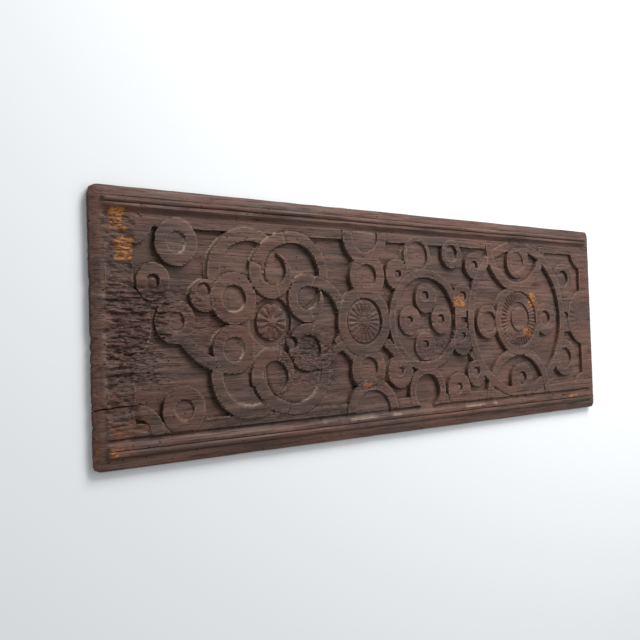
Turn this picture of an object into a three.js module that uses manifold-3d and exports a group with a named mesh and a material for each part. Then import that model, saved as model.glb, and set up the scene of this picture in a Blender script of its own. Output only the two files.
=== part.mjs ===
// Carved oak panel, 900 x 300 mm: one board with a bevelled margin, a run moulding along both
// long edges, and a sunk field of strapwork scrolls, rings and fluted rosettes.
// Millimetres. The board lies on its flat back: +Z out of the carved face, +X along its length,
// +Y towards its top edge, origin at the centre of the back.

import * as THREE from 'three';
import { mergeVertices } from 'three/addons/utils/BufferGeometryUtils.js';
import Module from 'manifold-3d';

// Board
const LENGTH = 900;
const WIDTH = 300;
const EDGE_THICKNESS = 7.5;
const CORNER_RADIUS = { topLeft: 9, topRight: 5, bottomRight: 5, bottomLeft: 7 };

// Heights above the back
const GROUND_Z = 7;
const MARGIN_Z = 11;
const UNDER_Z = 11.4;
const BORDER_Z = 11.9;
const STRAP_Z = 12.5;
const BEAD_Z = 13.5;
const COVE_FOOT_Z = 9.3;
const EYE_Z = 9;
const GROOVE_Z = 9.8;
const CLEAR_Z = 20;

// Margin, moulding and border, measured inwards from an edge
const MARGIN = 12;
const RAIL_WIDTH = { top: 29, bottom: 32.5 };
const RAIL_AT = { margin: 0.36, quirk: 0.39, bead: 0.66, fillet: 0.76, cove: 0.97 };
const BORDER_END = 15;
const GROUND = { left: 46, right: 867, top: 41.6, bottom: 254 };

// Facets: length of one side on small and large circles
const SMALL_SIDE = 6;
const LARGE_SIDE = 11;
const LARGE_FROM = 20;
const FEWEST_SIDES = 7;

// Every figure below is placed from the left end (x) and from the top edge (y).
// Angles are in degrees, 0 towards the right end and 90 towards the top edge.

// Rings of strap: outer and inner radius. An inner radius of 0 is a plain disc.
const RINGS = [
  { x: 99, y: 57, outer: 27, inner: 13 },
  { x: 69, y: 101, outer: 21, inner: 0 },
  { x: 22, y: 147, outer: 45, inner: 0 },
  { x: 96, y: 145, outer: 25, inner: 10 },
  { x: 104, y: 243, outer: 27, inner: 12 },
  { x: 129, y: 109, outer: 10, inner: 0 },
  { x: 172, y: 119, outer: 31, inner: 16 },
  { x: 171, y: 178, outer: 29, inner: 14.5 },
  { x: 382, y: 88, outer: 31, inner: 15.5 },
  { x: 380, y: 211, outer: 30, inner: 15 },
  { x: 375, y: 148, outer: 46, inner: 31 },
  { x: 379, y: 35, outer: 21, inner: 0 },
  { x: 387, y: 270, outer: 28, inner: 0 },
  { x: 437, y: 85, outer: 21.5, inner: 0 },
  { x: 439, y: 216, outer: 24, inner: 0 },
  { x: 477, y: 58, outer: 26.5, inner: 20 },
  { x: 548, y: 52, outer: 21, inner: 0 },
  { x: 570, y: 117, outer: 20, inner: 0 },
  { x: 569, y: 180, outer: 22, inner: 0 },
  { x: 598, y: 70, outer: 20, inner: 0 },
  { x: 596, y: 227, outer: 20, inner: 0 },
  { x: 491, y: 247, outer: 36, inner: 24 },
  { x: 556, y: 248, outer: 24, inner: 0 },
  { x: 699.5, y: 148, outer: 56, inner: 43.5 },
  { x: 625, y: 151.5, outer: 25, inner: 0 },
  { x: 769, y: 148, outer: 27, inner: 0 },
  { x: 697.5, y: 60, outer: 22, inner: 0 },
  { x: 703, y: 243, outer: 27, inner: 0 },
  { x: 819, y: 85, outer: 28, inner: 0 },
  { x: 818, y: 213, outer: 31, inner: 0 },
];

// The four lobes inside the middle ring
const LOBES = { radius: 20.5, at: [[495, 118], [460, 148], [525, 148], [491, 184]] };

// Straps that turn part of a circle: radius of the centre line and width, at each end
const UNDER_TURNS = [
  { x: 194, y: 90, r: 46.5, w: 15, r2: 49, w2: 19, from: 70, to: 190 },
  { x: 194, y: 207, r: 45.5, w: 15, r2: 47, w2: 17, from: 290, to: 172 },
  { x: 697.5, y: 32, r: 65.5, w: 15, from: 180, to: 360 },
  { x: 697, y: 270, r: 72, w: 14, from: 0, to: 180 },
];
const OVER_TURNS = [
  { x: 133, y: 118, r: 14, w: 12, from: 80, to: 182 },
  { x: 171, y: 122, r: 77.5, w: 15, from: 214, to: 274 },
  { x: 43, y: 268, r: 28, w: 16, from: 2, to: 92 },
  { x: 700, y: 147.5, r: 113.8, w: 13.5, from: 0, to: 360 },
  { x: 491, y: 147, r: 65.5, w: 12, from: 0, to: 360 },
  { x: 387, y: 270, r: 38.5, w: 15, from: 0, to: 180 },
  { x: 379, y: 35, r: 31.5, w: 15, from: 180, to: 360 },
];

// A volute and the arc that feeds it, given for the upper one; the lower one is its mirror
const VOLUTE = {
  mirrorY: 148.5,
  turns: [
    { x: 260, y: 90, r: 46.8, w: 14.5, from: -6, to: 108 },
    { x: 260, y: 90, r: 46.8, w: 14.5, r2: 57.5, w2: 19, from: 106, to: 182 },
    { x: 228, y: 86, r: 25.5, w: 18, r2: 25, w2: 16, from: 160, to: 290 },
    { x: 228, y: 86, r: 25, w: 16, r2: 23, w2: 2, from: 286, to: 430 },
    { x: 280, y: 118, r: 22.5, w: 15, r2: 22.5, w2: 15, from: 60, to: 290 },
    { x: 280, y: 118, r: 22.5, w: 15, r2: 22.5, w2: 2, from: 286, to: 395 },
    { x: 287, y: 148, r: 51.5, w: 15, from: -1, to: 96 },
  ],
};

// Straight straps: two ends and a width
const BARS = [
  [320, 186, 352, 170, 11],
  [326, 168, 356, 196, 11],
  [416, 178, 452, 213, 12],
  [455, 70, 470, 84, 12],
  [565, 100, 565, 196, 26],
  [586, 104, 586, 190, 13],
  [612, 64, 634, 57, 13],
  [600, 213, 586, 196, 12],
  [812, 142, 850, 142, 56],
];

// Notches cut back to the ground between two scrolls: x, y, width, height
const NOTCHES = [[574, 152, 8, 12], [580, 164, 6, 20]];

// Round part of the ground that runs on into the border
const GROUND_BAY = { x: 491, y: 247, radius: 25 };

// Raised quarter discs in the corners of the ground
const CORNER_DISCS = { radius: 25, at: [[45, 36], [870, 38], [871, 264]] };

// Eyes: a groove around a small boss
const EYES = [
  { x: 69, y: 101, outer: 8, boss: 4.5 },
  { x: 129, y: 109, outer: 6, boss: 2.5 },
  { x: 255, y: 173, outer: 7, boss: 3 },
  { x: 438, y: 85, outer: 6, boss: 2.5 },
  { x: 441, y: 214, outer: 6, boss: 2.5 },
  { x: 547, y: 52, outer: 11, boss: 5 },
  { x: 571, y: 117, outer: 8, boss: 4 },
  { x: 567, y: 172, outer: 6, boss: 2.5 },
  { x: 598, y: 68, outer: 7, boss: 3.5 },
  { x: 595, y: 226, outer: 7.5, boss: 4 },
  { x: 556, y: 248, outer: 7.5, boss: 4 },
  { x: 491, y: 116, outer: 6.5, boss: 3 },
  { x: 458, y: 148, outer: 6, boss: 2.5 },
  { x: 522, y: 147, outer: 7, boss: 3 },
  { x: 489, y: 183, outer: 6, boss: 2.5 },
  { x: 769, y: 147, outer: 12, boss: 6 },
  { x: 703, y: 241, outer: 10.5, boss: 5.5 },
  { x: 820, y: 83, outer: 12, boss: 6.5 },
  { x: 827, y: 147, outer: 7, boss: 3.5 },
];

// Dished eyes: a flat sunk disc inside a scroll
const DISHES = [
  { x: 627, y: 152, radius: 16 },
  { x: 698, y: 59, radius: 16 },
  { x: 819, y: 214, radius: 16 },
  { x: 477, y: 58, radius: 13 },
];

// Fluted rosettes: radius, radius of the plain middle, number of flutes
const ROSETTES = [
  { x: 226, y: 147, radius: 22, middle: 5, flutes: 12 },
  { x: 375, y: 148, radius: 27, middle: 5, flutes: 18 },
  { x: 699.5, y: 148, radius: 41, middle: 21, flutes: 28 },
  { x: 876, y: 147, radius: 45, middle: 6, flutes: 18 },
];
const FLUTE_DEPTH = 2;
const ROSETTE_RIM_DROP = 1.2;
const ROSETTE_RISE = 0.2;

// Wear: the zone at the left end that worm and rot have eaten down
const WORN = { left: 16, right: 112, top: 30, bottom: 267, depth: 3.4, across: 5, along: 8 };
const GOUGES = {
  count: 16, seed: 7, left: 22, right: 88, top: 112, bottom: 216,
  length: [14, 40], width: [2, 4.5], depth: [1.8, 3.8], surface: 11.2,
};
const CRACK = { y: 236, endY: 233, length: 54, width: 1.8, through: 9, depth: 3 };
const WORM_CHANNEL = { x: 816, y: 276, length: 68, width: 4, depth: 3 };
const END_CHIPS = {
  count: 8, seed: 3, top: 20, bottom: 280,
  length: [3, 6], width: [4, 13], depth: [2.5, 5.5],
};

const OAK = { color: 0x3d2a22, roughness: 0.75, metalness: 0 };

const wasm = await Module();
wasm.setup();

// Position in the board's frame of a point given from the left end and the top edge
function at(x, y) {
  return new THREE.Vector2(x - LENGTH / 2, WIDTH / 2 - y);
}

function radians(degrees) {
  return THREE.MathUtils.degToRad(degrees);
}

// A repeatable source of numbers between two limits
function numbersFrom(seed) {
  let state = seed;
  return (low = 0, high = 1) => {
    state = (state * 16807) % 2147483647;
    return low + (high - low) * state / 2147483647;
  };
}

function sidesFor(radius, sweep = 360) {
  const side = radius < LARGE_FROM ? SMALL_SIDE : LARGE_SIDE;
  const full = Math.max(FEWEST_SIDES, Math.round(2 * Math.PI * radius / side));
  return Math.max(2, Math.ceil(full * Math.abs(sweep) / 360));
}

// Solids
function solidOf(geometry) {
  geometry.deleteAttribute('normal');
  geometry.deleteAttribute('uv');
  const merged = mergeVertices(geometry, 1e-4);
  return new wasm.Manifold(new wasm.Mesh({
    numProp: 3,
    vertProperties: new Float32Array(merged.attributes.position.array),
    triVerts: new Uint32Array(merged.index.array),
  }));
}

function geometryOf(solid) {
  const mesh = solid.getMesh();
  const geometry = new THREE.BufferGeometry();
  geometry.setAttribute('position', new THREE.BufferAttribute(mesh.vertProperties, 3));
  geometry.setIndex(new THREE.BufferAttribute(mesh.triVerts, 1));
  geometry.computeVertexNormals();
  return geometry;
}

function joined(solids) {
  return solids.reduce((sum, solid) => sum.add(solid));
}

// A flat outline raised from one height to another
function raised(points, from, to) {
  const shape = new THREE.Shape(points);
  const geometry = new THREE.ExtrudeGeometry(shape, { depth: to - from, bevelEnabled: false });
  geometry.translate(0, 0, from);
  return solidOf(geometry);
}

function arc(x, y, radius, from, to, sides = sidesFor(radius, to - from)) {
  const points = [];
  for (let i = 0; i <= sides; i += 1) {
    const angle = radians(from + (to - from) * i / sides);
    points.push(at(x + radius * Math.cos(angle), y - radius * Math.sin(angle)));
  }
  return points;
}

function disc(x, y, radius, from, to) {
  return raised(arc(x, y, radius, 0, 360).slice(0, -1), from, to);
}

function ring(x, y, outer, inner, from, to) {
  const whole = disc(x, y, outer, from, to);
  return inner > 0 ? whole.subtract(disc(x, y, inner, from - 1, to + 1)) : whole;
}

function rectangle(left, right, top, bottom, from, to) {
  const corners = [at(left, bottom), at(right, bottom), at(right, top), at(left, top)];
  return raised(corners, from, to);
}

// Strap along a turn, with its radius and width running evenly from one end to the other
function turn({ x, y, r, r2 = r, w, w2 = w, from, to }, low, high) {
  if (Math.abs(to - from) === 360) {
    return ring(x, y, r + w / 2, r - w / 2, low, high);
  }
  const steps = sidesFor(Math.max(r, r2), to - from);
  const outer = [];
  const inner = [];
  for (let i = 0; i <= steps; i += 1) {
    const t = i / steps;
    const angle = radians(from + (to - from) * t);
    const radius = r + (r2 - r) * t;
    const half = (w + (w2 - w) * t) / 2;
    const ray = [Math.cos(angle), Math.sin(angle)];
    outer.push(at(x + (radius + half) * ray[0], y - (radius + half) * ray[1]));
    inner.push(at(x + (radius - half) * ray[0], y - (radius - half) * ray[1]));
  }
  return raised([...outer, ...inner.reverse()], low, high);
}

function mirrored({ y, from, to, ...rest }) {
  return { ...rest, y: 2 * VOLUTE.mirrorY - y, from: -from, to: -to };
}

function bar([x1, y1, x2, y2, width], low, high) {
  const a = at(x1, y1);
  const b = at(x2, y2);
  const side = b.clone().sub(a).normalize().rotateAround(new THREE.Vector2(), Math.PI / 2);
  side.multiplyScalar(width / 2);
  const corners = [
    a.clone().sub(side), b.clone().sub(side), b.clone().add(side), a.clone().add(side),
  ];
  return raised(corners, low, high);
}

// A fluted disc: ridges and hollows alternate around a plain raised middle
function rosette({ x, y, radius, middle, flutes }) {
  const rim = STRAP_Z - ROSETTE_RIM_DROP;
  const crest = STRAP_Z + ROSETTE_RISE;
  const hollow = crest - ROSETTE_RIM_DROP;
  const profile = [
    [0, GROUND_Z - 1], [radius, GROUND_Z - 1], [radius, rim], [radius * 0.9, crest],
    [middle, hollow], [0, hollow],
  ].map(([u, z]) => new THREE.Vector2(u, z));
  const geometry = new THREE.LatheGeometry(profile, flutes * 2);
  geometry.rotateX(Math.PI / 2);
  const position = geometry.attributes.position;
  for (let i = 0; i < position.count; i += 1) {
    const distance = Math.hypot(position.getX(i), position.getY(i));
    const angle = Math.atan2(position.getY(i), position.getX(i));
    const step = Math.round(angle / Math.PI * flutes + flutes * 4 + 0.001);
    const fluted = distance > middle * 1.05 && position.getZ(i) > GROUND_Z;
    if (fluted && step % 2) {
      position.setZ(i, position.getZ(i) - FLUTE_DEPTH);
    }
  }
  const centre = at(x, y);
  geometry.translate(centre.x, centre.y, 0);
  return solidOf(geometry).add(disc(x, y, middle, GROUND_Z, crest));
}

// Board: a slab whose face rises from the edge to the margin's inner arris
function board() {
  const { topLeft, topRight, bottomRight, bottomLeft } = CORNER_RADIUS;
  const outline = [
    ...arc(LENGTH - topRight, topRight, topRight, 0, 90, 3),
    ...arc(topLeft, topLeft, topLeft, 90, 180, 4),
    ...arc(bottomLeft, WIDTH - bottomLeft, bottomLeft, 180, 270, 4),
    ...arc(LENGTH - bottomRight, WIDTH - bottomRight, bottomRight, 270, 360, 3),
  ];
  const inner = [
    at(MARGIN, WIDTH - MARGIN), at(LENGTH - MARGIN, WIDTH - MARGIN),
    at(LENGTH - MARGIN, MARGIN), at(MARGIN, MARGIN),
  ];
  const bevelled = new THREE.ExtrudeGeometry(new THREE.Shape(inner), {
    depth: EDGE_THICKNESS,
    bevelThickness: MARGIN_Z - EDGE_THICKNESS,
    bevelSize: MARGIN,
    bevelSegments: 1,
  });
  return solidOf(bevelled).intersect(raised(outline, 0, MARGIN_Z));
}

// Moulding along a long edge, as a section seen from the end: quirk, bead, fillet and cove
function rail(width, onTop) {
  const u = Object.fromEntries(Object.entries(RAIL_AT).map(([key, share]) => [key, share * width]));
  const base = GROUND_Z - 1;
  const beadFoot = MARGIN_Z - 1;
  const section = [[u.margin, base], [u.margin, MARGIN_Z - 0.3], [u.quirk, beadFoot - 0.6]];
  const beadMiddle = (u.quirk + u.bead) / 2;
  const beadHalf = (u.bead - u.quirk) / 2;
  for (let i = 1; i < 6; i += 1) {
    const angle = Math.PI * (1 - i / 6);
    const z = beadFoot + (BEAD_Z - beadFoot) * Math.sin(angle);
    section.push([beadMiddle + beadHalf * Math.cos(angle), z]);
  }
  section.push([u.bead, BORDER_Z - 0.7], [u.fillet, BORDER_Z + 0.4]);
  section.push([(u.fillet + u.cove) / 2, (BORDER_Z + COVE_FOOT_Z) / 2 - 0.7]);
  section.push([u.cove, COVE_FOOT_Z], [u.cove, base]);
  const shape = new THREE.Shape(section.map(([x, z]) => new THREE.Vector2(x, z)));
  const run = LENGTH - 2 * MARGIN;
  const geometry = new THREE.ExtrudeGeometry(shape, { depth: run, bevelEnabled: false });
  const side = onTop ? 1 : -1;
  geometry.rotateX(Math.PI / 2);
  geometry.rotateZ(-side * Math.PI / 2);
  geometry.translate(side * run / 2, side * WIDTH / 2, 0);
  return solidOf(geometry);
}

// Space between the mouldings, where the border stands and the ground is sunk
function fieldBlock(low, high) {
  return rectangle(
    BORDER_END, LENGTH - BORDER_END,
    RAIL_WIDTH.top, WIDTH - RAIL_WIDTH.bottom,
    low, high,
  );
}

function border() {
  const { left, right, top, bottom } = GROUND;
  const bay = disc(GROUND_BAY.x, GROUND_BAY.y, GROUND_BAY.radius, GROUND_Z, CLEAR_Z);
  const sunk = rectangle(left, right, top, bottom, GROUND_Z, CLEAR_Z).add(bay);
  const corners = CORNER_DISCS.at.map(([x, y]) => (
    disc(x, y, CORNER_DISCS.radius, GROUND_Z - 1, BORDER_Z)
  ));
  return joined([fieldBlock(GROUND_Z - 2, BORDER_Z).subtract(sunk), ...corners]);
}

function straps() {
  const base = GROUND_Z - 1;
  const under = UNDER_TURNS.map((row) => turn(row, base, UNDER_Z));
  const over = [...OVER_TURNS, ...VOLUTE.turns, ...VOLUTE.turns.map(mirrored)]
    .map((row) => turn(row, base, STRAP_Z));
  const bars = BARS.map((row) => bar(row, base, UNDER_Z));
  const rings = RINGS.map(({ x, y, outer, inner }) => ring(x, y, outer, inner, base, STRAP_Z));
  const lobes = LOBES.at.map(([x, y]) => disc(x, y, LOBES.radius, base, STRAP_Z));
  return joined([...under, ...bars, ...over, ...rings, ...lobes]);
}

function sinkings() {
  const notches = NOTCHES.map(([x, y, width, height]) => (
    rectangle(x - width / 2, x + width / 2, y - height / 2, y + height / 2, GROUND_Z, CLEAR_Z)
  ));
  const eyes = EYES.map(({ x, y, outer, boss }) => ring(x, y, outer, boss, GROOVE_Z, CLEAR_Z));
  const dishes = DISHES.map(({ x, y, radius }) => disc(x, y, radius, EYE_Z, CLEAR_Z));
  const seats = ROSETTES.map(({ x, y, radius }) => disc(x, y, radius + 1, GROUND_Z, CLEAR_Z));
  return joined([...notches, ...eyes, ...dishes, ...seats]);
}

// The eaten surface at the left end, as the solid that is missing above it
function wornZone() {
  const { left, right, top, bottom, depth, across, along } = WORN;
  const random = numbersFrom(GOUGES.seed);
  const geometry = new THREE.BoxGeometry(right - left, bottom - top, 2, across, along, 1);
  const middle = at((left + right) / 2, (top + bottom) / 2);
  const position = geometry.attributes.position;
  const lows = new Map();
  for (let i = 0; i < position.count; i += 1) {
    if (position.getZ(i) < 0) {
      const x = position.getX(i) / (right - left) + 0.5;
      const y = position.getY(i) / (bottom - top) + 0.5;
      const key = `${x.toFixed(3)} ${y.toFixed(3)}`;
      if (!lows.has(key)) {
        const fade = Math.min(1, 2.2 * (1 - x)) * Math.min(1, 6 * y, 6 * (1 - y));
        const band = Math.exp(-(((y - 0.46) / 0.24) ** 2));
        const bite = depth * fade * (0.35 + 0.65 * band) * (0.55 + 0.9 * random());
        lows.set(key, STRAP_Z + 0.1 - bite);
      }
      position.setZ(i, lows.get(key));
    } else {
      position.setZ(i, CLEAR_Z);
    }
  }
  geometry.translate(middle.x, middle.y, 0);
  return solidOf(geometry);
}

// A long narrow bite with the grain
function gouge(x, y, length, width, depth, top) {
  const geometry = new THREE.OctahedronGeometry(1, 0);
  const centre = at(x, y);
  geometry.scale(length / 2, width / 2, depth);
  geometry.translate(centre.x, centre.y, top);
  return solidOf(geometry);
}

function gouges() {
  const { count, seed, left, right, top, bottom, length, width, depth, surface } = GOUGES;
  const random = numbersFrom(seed);
  const bites = [];
  for (let i = 0; i < count; i += 1) {
    const place = [random(left, right), random(top, bottom)];
    bites.push(gouge(...place, random(...length), random(...width), random(...depth), surface));
  }
  return joined(bites);
}

function endChips() {
  const { count, seed, top, bottom, length, width, depth } = END_CHIPS;
  const random = numbersFrom(seed);
  const bites = [];
  for (let i = 0; i < count; i += 1) {
    const y = random(top, bottom);
    bites.push(gouge(0, y, random(...length), random(...width), random(...depth), EDGE_THICKNESS));
  }
  return joined(bites);
}

function crack() {
  const { y, endY, length, width, through, depth } = CRACK;
  const slit = (end, tip, low) => {
    const points = [at(-1, y + width / 2), at(end, tip), at(-1, y - width / 2)];
    return raised(points, low, CLEAR_Z);
  };
  const deep = slit(through, y, -1);
  return deep.add(slit(length, endY, MARGIN_Z - depth));
}

function wormChannel() {
  const { x, y, length, width, depth } = WORM_CHANNEL;
  return gouge(x, y, length, width, depth, BEAD_Z - 1);
}

// The whole panel
function carvedPanel() {
  const relief = joined([border(), straps()]).subtract(sinkings())
    .add(joined(ROSETTES.map(rosette)))
    .intersect(fieldBlock(GROUND_Z - 2, CLEAR_Z));
  const floor = fieldBlock(0, GROUND_Z);
  const faceless = board().subtract(fieldBlock(GROUND_Z, CLEAR_Z));
  const whole = joined([
    faceless, floor, relief,
    rail(RAIL_WIDTH.top, true), rail(RAIL_WIDTH.bottom, false),
  ]);
  return whole.subtract(joined([wornZone(), gouges(), endChips(), crack(), wormChannel()]));
}

const panel = new THREE.Mesh(
  geometryOf(carvedPanel()),
  new THREE.MeshStandardMaterial(OAK),
);
panel.name = 'carved_panel';

const group = new THREE.Group();
group.add(panel);

export default group;
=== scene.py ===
import math

import bmesh
import bpy
import numpy as np
from mathutils import Matrix, Vector


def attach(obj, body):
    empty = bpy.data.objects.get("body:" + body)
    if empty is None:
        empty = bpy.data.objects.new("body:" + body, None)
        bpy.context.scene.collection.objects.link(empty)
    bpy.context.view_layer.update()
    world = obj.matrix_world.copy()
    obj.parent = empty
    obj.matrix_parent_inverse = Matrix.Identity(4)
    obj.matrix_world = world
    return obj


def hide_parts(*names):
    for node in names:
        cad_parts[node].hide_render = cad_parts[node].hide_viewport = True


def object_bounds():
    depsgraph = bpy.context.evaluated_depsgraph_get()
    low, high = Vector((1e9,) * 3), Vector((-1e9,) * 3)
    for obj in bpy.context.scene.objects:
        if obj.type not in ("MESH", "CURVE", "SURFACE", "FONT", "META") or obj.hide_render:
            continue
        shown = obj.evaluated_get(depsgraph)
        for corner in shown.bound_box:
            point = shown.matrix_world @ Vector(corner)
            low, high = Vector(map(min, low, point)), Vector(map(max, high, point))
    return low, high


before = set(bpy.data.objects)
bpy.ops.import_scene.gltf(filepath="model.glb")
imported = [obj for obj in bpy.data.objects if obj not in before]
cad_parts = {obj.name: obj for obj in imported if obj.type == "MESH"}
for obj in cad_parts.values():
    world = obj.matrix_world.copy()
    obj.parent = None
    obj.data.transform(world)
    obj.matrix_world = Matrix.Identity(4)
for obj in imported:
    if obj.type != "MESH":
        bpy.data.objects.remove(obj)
CAD_LOW, CAD_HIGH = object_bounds()

bl_info = {
    "name": "Carved Oak Panel",
    "version": (1, 0, 0),
    "blender": (4, 5, 0),
    "location": "3D View > Sidebar > Oak Panel",
    "description": "A long oak board carved in low relief, old and wormed at one end",
    "category": "Object",
}

NODE = "carved_panel"
BODY = "root"
SEED = 11

# Sizes are in millimetres. A point of the carving is given from the board's left end (x)
# and from its top edge (y), and an angle in degrees, 0 to the right and 90 to the top edge.
MM = 0.001
LENGTH = (CAD_HIGH.x - CAD_LOW.x) / MM
WIDTH = (CAD_HIGH.y - CAD_LOW.y) / MM
THICKNESS = (CAD_HIGH.z - CAD_LOW.z) / MM
CORNER_RADIUS = {"top_left": 9, "top_right": 7, "bottom_right": 4, "bottom_left": 7}

# Heights above the back of what no size in the sidebar sets
DEEPEST_Z = 5.4
EATEN_Z = 9.3

# Moulding along a long edge: its width, and its section as (share of the width, height)
RAIL_WIDTH = {"top": 29.0, "bottom": 32.5}
MARGIN_SECTION = ((0.0, 7.5), (0.17, 9.0), (0.345, 10.6), (0.365, 10.5), (0.38, 10.0))
BEAD_SHARE = (0.385, 0.605)
BEAD_POINTS = 7
BEAD_RISE = 3.0
COVE_SECTION = (
    (0.62, 11.9), (0.635, 12.7), (0.735, 12.9), (0.76, 12.3), (0.83, 10.2), (0.90, 9.0),
    (0.96, 8.5), (0.99, 8.5),
)

# Margin across each end: distance from the end and height
LEFT_END = ((0.0, 7.5), (6.0, 9.2), (12.2, 9.6), (14.6, 11.6))
RIGHT_END = ((0.0, 9.6), (5.0, 10.7), (11.0, 11.3), (12.6, 10.0), (15.0, 10.0), (16.6, 11.6))
LONG_EDGE = ((0.0, 7.5), (5.2, 9.0), (9.9, 10.6), (14.0, 11.4))
RAIL_START = (11.0, 16.5)
GROUND_BOX = (46.0, 867.0, 41.6, 254.0)

# Grid of the carved face: spacing over the field, and finer round the rosettes
COLUMN_STEP = 2.3
ROW_STEP = 1.85
FINE_STEP = 1.45
FINE_COLUMNS = ((346.0, 404.0), (654.0, 744.0))
FINE_ROWS = ((104.0, 192.0),)
END_STEPS = (2.5, 3.0, 3.5, 3.0, 2.2, 2.2)
SIDE_LEVELS = ((5.6, 0.0), (1.0, 0.1), (0.0, 0.9))
WORN_ZONE = (15.0, 94.0, 32.0, 264.0)
WALL_RUN = 0.9
EDGE_BAND = 1.4

# Wear
CRACK = {"y": 235.8, "end_y": 233.0, "end": 54.0, "notch": 6.0, "width": 2.0, "depth": 4.2}
WORM_CHANNEL = {"left": 782.0, "right": 853.0, "y": 275.4, "width": 3.6, "depth": 3.4}


def length_property(name, description, millimetres):
    return bpy.props.FloatProperty(
        name=name, description=description, default=millimetres * MM,
        unit="LENGTH", subtype="DISTANCE", precision=5,
    )


def colour_property(name, description, hex_colour):
    return bpy.props.FloatVectorProperty(
        name=name, description=description, default=linear(hex_colour),
        size=4, subtype="COLOR", min=0, max=1,
    )


def linear(hex_colour):
    """An sRGB hex colour as linear red, green, blue and alpha."""
    channels = [int(hex_colour[i:i + 2], 16) / 255 for i in (1, 3, 5)]
    return (*[c / 12.92 if c <= 0.04045 else ((c + 0.055) / 1.055) ** 2.4 for c in channels], 1.0)


class OakPanelSizes(bpy.types.PropertyGroup):
    ground: length_property("Ground", "Height of the sunk ground above the back", 7.0)
    border: length_property("Border", "Height of the plain border above the back", 11.7)
    strap: length_property("Strapwork", "Height of the straps and discs above the back", 12.5)
    bead: length_property("Bead", "Height of the moulded bead above the back", 13.4)
    arris: length_property("Arris wear", "How far the straps' edges are worn down", 0.4)
    crease: length_property("Crossing cut", "How deep the under strap is cut beside the over one", 1.4)
    wander: length_property("Carver's wander", "How far the carved lines stray from true", 0.55)


class OakPanelColours(bpy.types.PropertyGroup):
    skin: colour_property("Brown skin", "Waxed and darkened surface", "#4a372f")
    red_skin: colour_property("Red skin", "Surface where the wax is thin", "#5f3f33")
    streak: colour_property("Light streak", "Lighter growth rings along the grain", "#725649")
    pore: colour_property("Pores", "Dark pores and the lines between the rings", "#20140f")
    # Lighter colour on every arris: partly rubbed wear, partly a painted highlight.
    worn: colour_property("Worn edges", "Edges that hands have rubbed light", "#957967")
    # The dark colour: eaten wood and worm holes, and painted shade at the foot of every wall and in the
    # crack.
    dirt_and_painted_shade: colour_property("Dirt", "Dirt and old wax in the corners", "#1b120e")
    # Pale colour laid at the foot of some walls, on the sides given for each layer.
    dust: colour_property("Pale dust", "Pale dust at the foot of some walls", "#b39d86")
    bare_light: colour_property("Bare wood", "Fresh wood where worm broke the skin", "#a87240")
    bare_dark: colour_property("Bare wood in shade", "Darker fibres of the bare wood", "#5a3017")
    floor: colour_property("Floor", "Plain painted floor", "#f1f3f4")


def lattice_noise(x, y, cell_x, cell_y, seed):
    """Smooth noise from -1 to 1 in cells of that many millimetres."""
    random = np.random.default_rng(SEED * 1000 + seed)
    columns, rows = int(LENGTH / cell_x) + 8, int(WIDTH / cell_y) + 8
    values = random.uniform(-1, 1, (rows, columns))
    u = np.clip(x / cell_x + 3, 0, columns - 2)
    v = np.clip(y / cell_y + 3, 0, rows - 2)
    i, j = u.astype(int), v.astype(int)
    fu, fv = u - i, v - j
    fu, fv = fu * fu * (3 - 2 * fu), fv * fv * (3 - 2 * fv)
    upper = values[j, i] * (1 - fu) + values[j, i + 1] * fu
    lower = values[j + 1, i] * (1 - fu) + values[j + 1, i + 1] * fu
    return upper * (1 - fv) + lower * fv


def smooth_step(value, low, high):
    """0 below low, 1 above high, and an even curve between them."""
    t = np.clip((value - low) / (high - low), 0, 1)
    return t * t * (3 - 2 * t)


def along_section(distance, section):
    return np.interp(distance, [u for u, _ in section], [z for _, z in section])


# Shapes. Each gives a function of x and y: the distance inside its outline, below 0 outside.
def disc(cx, cy, radius):
    return lambda x, y: radius - np.hypot(x - cx, y - cy)


def ring(cx, cy, outer, inner):
    def depth(x, y):
        radius = np.hypot(x - cx, y - cy)
        return np.minimum(outer - radius, radius - inner)
    return depth


def turn(cx, cy, radius, width, start, end, radius_2=None, width_2=None):
    """Strap along a turn, its radius and width running evenly from one end to the other."""
    last_radius = radius if radius_2 is None else radius_2
    last_width = width if width_2 is None else width_2
    sweep = abs(end - start)
    sense = 1 if end > start else -1

    def depth(x, y):
        distance = np.hypot(x - cx, y - cy)
        angle = np.degrees(np.arctan2(cy - y, x - cx))
        swept = ((angle - start) * sense) % 360
        swept = np.where(swept > (sweep + 360) / 2, swept - 360, swept)
        t = np.clip(swept / sweep, 0, 1)
        half = (width + (last_width - width) * t) / 2
        across = half - np.abs(distance - radius - (last_radius - radius) * t)
        along = np.radians(np.minimum(swept, sweep - swept)) * radius
        return np.minimum(across, along)
    return depth


def bar(x1, y1, x2, y2, width):
    length = math.hypot(x2 - x1, y2 - y1)
    ux, uy = (x2 - x1) / length, (y2 - y1) / length

    def depth(x, y):
        along = (x - x1) * ux + (y - y1) * uy
        across = np.abs((y - y1) * ux - (x - x1) * uy)
        return np.minimum(width / 2 - across, np.minimum(along, length - along))
    return depth


def box(left, right, top, bottom):
    return lambda x, y: np.minimum(np.minimum(x - left, right - x), np.minimum(y - top, bottom - y))


def outside(shape):
    return lambda x, y: -shape(x, y)


def joined(*shapes):
    return lambda x, y: np.maximum.reduce([shape(x, y) for shape in shapes])


def patch(x, y, left, right, top, bottom, soft):
    """1 inside a box, fading to 0 over a soft edge."""
    return smooth_step(box(left, right, top, bottom)(x, y), -soft, soft)


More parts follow.
